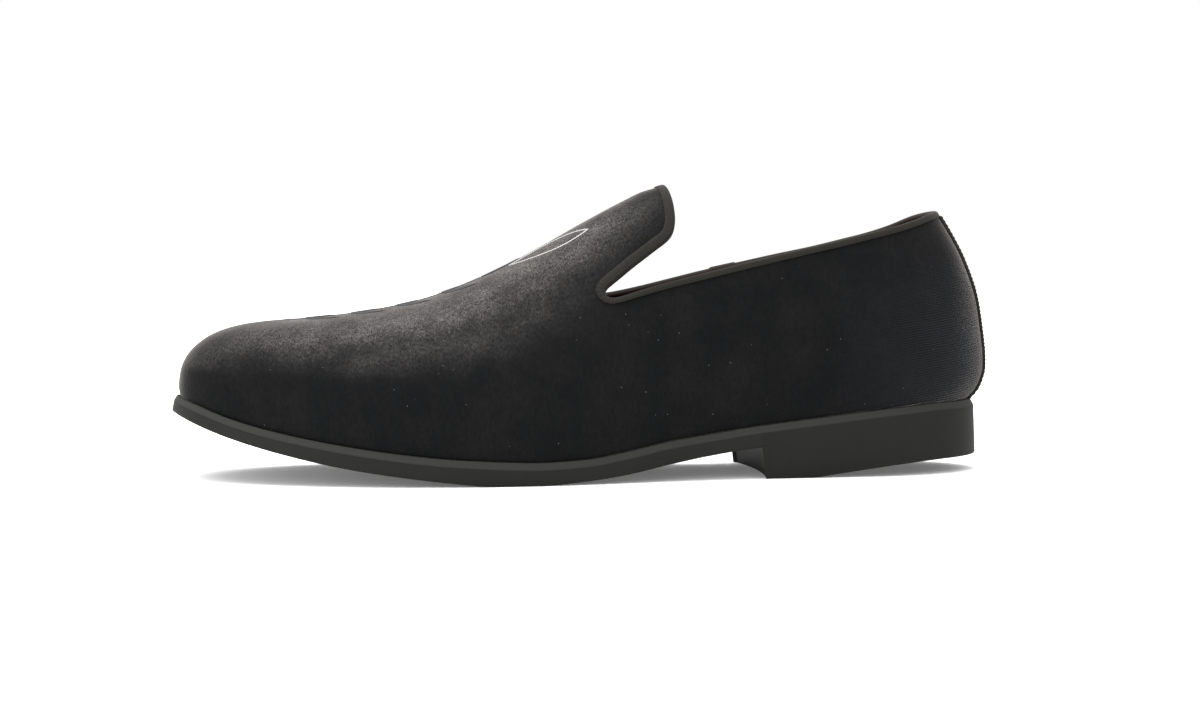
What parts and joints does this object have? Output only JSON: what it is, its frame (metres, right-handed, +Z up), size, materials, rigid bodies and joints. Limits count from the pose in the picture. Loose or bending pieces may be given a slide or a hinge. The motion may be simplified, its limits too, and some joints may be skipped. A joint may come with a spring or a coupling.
{
  "type": "velvet slipper loafer",
  "caption": "Low slip-on dress shoe: hollow velvet upper with tongue, ribbon topline and back strip, on a moulded rubber sole with a low heel.",
  "frame": {"origin": "middle of the shoe's box, on the floor", "axes": "-X toward the toe, +X toward the heel, +Y toward the inner side of the foot, +Z up"},
  "size_m": [0.3016, 0.1013, 0.106],
  "materials": {
    "sole_rubber": "matt moulded rubber",
    "velvet": "black velvet pile",
    "ribbon": "ribbed grosgrain ribbon",
    "lining_leather": "smooth lining leather"
  },
  "bodies": {
    "root": {"sole": "sole_rubber", "upper": "velvet", "topline_binding": "ribbon", "back_strip": "ribbon", "insole": "lining_leather"}
  },
  "joints": []
}
